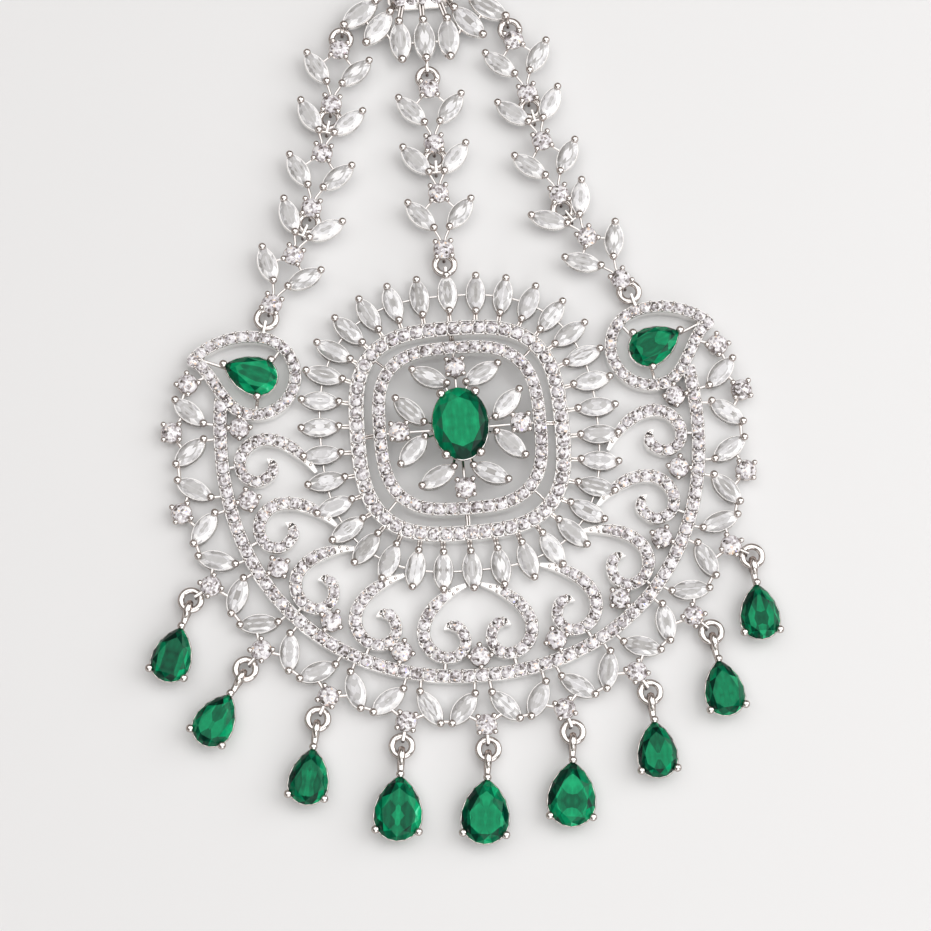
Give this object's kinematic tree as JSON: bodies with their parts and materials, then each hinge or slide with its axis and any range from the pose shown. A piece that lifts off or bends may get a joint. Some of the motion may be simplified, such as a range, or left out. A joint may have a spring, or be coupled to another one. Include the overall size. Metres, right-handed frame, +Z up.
{
  "type": "jhoomar hair ornament",
  "caption": "Side-worn hair ornament: an openwork crescent pendant with a halo of marquise stones round a green oval, hung on leafy chains from a fan-shaped top, with pear-shaped drops.",
  "frame": {"origin": "centre of the flat underside of the cup below the green oval, at the middle of the pendant, on the surface that the ornament lies on", "axes": "+Z up out of the stones' faces, +Y along the middle chain towards the hair hook, +X to the pendant's right as seen from above"},
  "size_m": [0.0805, 0.1362, 0.0058],
  "materials": {
    "stone_set_metal": "bright cast silver-coloured metal set with small clear stones",
    "polished_silver_metal": "polished silver-coloured wire and settings",
    "green_stone": "transparent deep green faceted stone"
  },
  "bodies": {
    "root": {"centre_link_1": "stone_set_metal", "centre_link_2": "stone_set_metal", "centre_ring_1": "polished_silver_metal", "centre_ring_2": "polished_silver_metal", "centre_ring_3": "polished_silver_metal", "centre_stone": "green_stone", "drop_ring_1": "polished_silver_metal", "drop_ring_2": "polished_silver_metal", "drop_ring_3": "polished_silver_metal", "drop_ring_4": "polished_silver_metal", "drop_ring_5": "polished_silver_metal", "drop_ring_6": "polished_silver_metal", "drop_ring_7": "polished_silver_metal", "drop_ring_8": "polished_silver_metal", "drop_ring_9": "polished_silver_metal", "drop_setting_1": "polished_silver_metal", "drop_setting_2": "polished_silver_metal", "drop_setting_3": "polished_silver_metal", "drop_setting_4": "polished_silver_metal", "drop_setting_5": "polished_silver_metal", "drop_setting_6": "polished_silver_metal", "drop_setting_7": "polished_silver_metal", "drop_setting_8": "polished_silver_metal", "drop_setting_9": "polished_silver_metal", "drop_stone_1": "green_stone", "drop_stone_2": "green_stone", "drop_stone_3": "green_stone", "drop_stone_4": "green_stone", "drop_stone_5": "green_stone", "drop_stone_6": "green_stone", "drop_stone_7": "green_stone", "drop_stone_8": "green_stone", "drop_stone_9": "green_stone", "hair_hook": "polished_silver_metal", "left_link_1": "stone_set_metal", "left_link_2": "stone_set_metal", "left_link_3": "stone_set_metal", "left_pear": "green_stone", "left_ring_1": "polished_silver_metal", "left_ring_2": "polished_silver_metal", "left_ring_3": "polished_silver_metal", "left_ring_4": "polished_silver_metal", "pendant_frame": "stone_set_metal", "right_link_1": "stone_set_metal", "right_link_2": "stone_set_metal", "right_link_3": "stone_set_metal", "right_pear": "green_stone", "right_ring_1": "polished_silver_metal", "right_ring_2": "polished_silver_metal", "right_ring_3": "polished_silver_metal", "right_ring_4": "polished_silver_metal", "top_piece": "stone_set_metal"}
  },
  "joints": []
}
